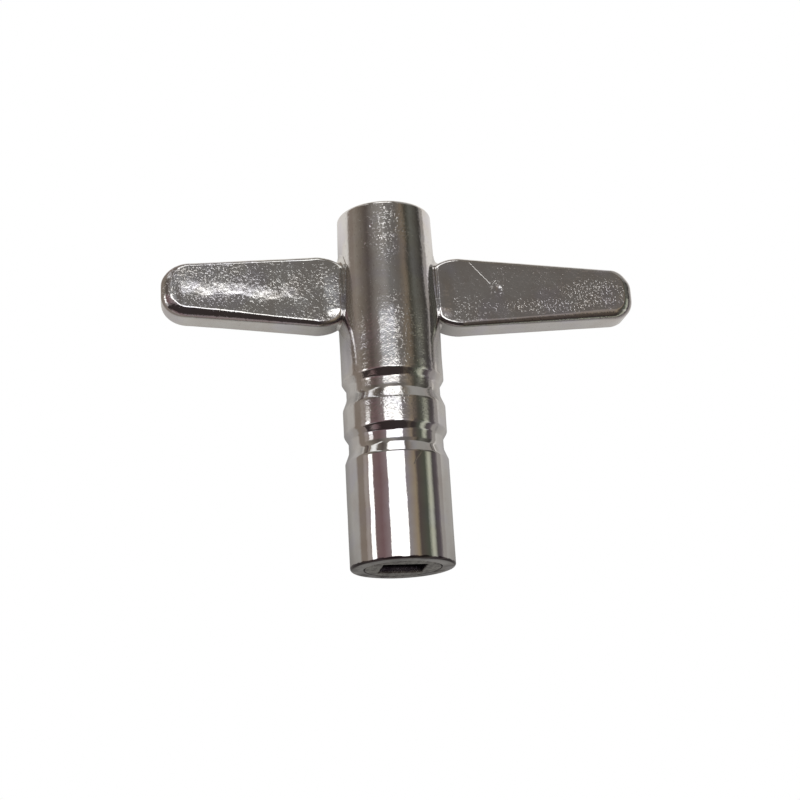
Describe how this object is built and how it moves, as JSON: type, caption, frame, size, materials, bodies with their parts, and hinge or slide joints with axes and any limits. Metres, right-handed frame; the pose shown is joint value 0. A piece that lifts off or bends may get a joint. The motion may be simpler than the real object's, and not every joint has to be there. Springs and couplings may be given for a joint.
{
  "type": "radiator bleed key",
  "caption": "Winged T-shaped hand key: a round barrel with a square socket at one end and two flat cast wings for turning small square valve spindles.",
  "frame": {"origin": "centre of the square socket's mouth, on the barrel axis, with the key lying flat", "axes": "+Y along the barrel from the socket mouth to the closed end, +X towards the right wing, +Z square to the wing faces"},
  "size_m": [0.0597, 0.045, 0.0124],
  "materials": {
    "barrel_chrome": "chrome plate over turned steel, smooth at the socket end and finely pitted near the wings",
    "wing_chrome": "chrome plate over a pitted casting",
    "insert_steel": "broached and hardened steel, dark"
  },
  "bodies": {
    "root": {"barrel": "barrel_chrome", "socket_insert": "insert_steel", "left_wing": "wing_chrome", "right_wing": "wing_chrome"}
  },
  "joints": []
}
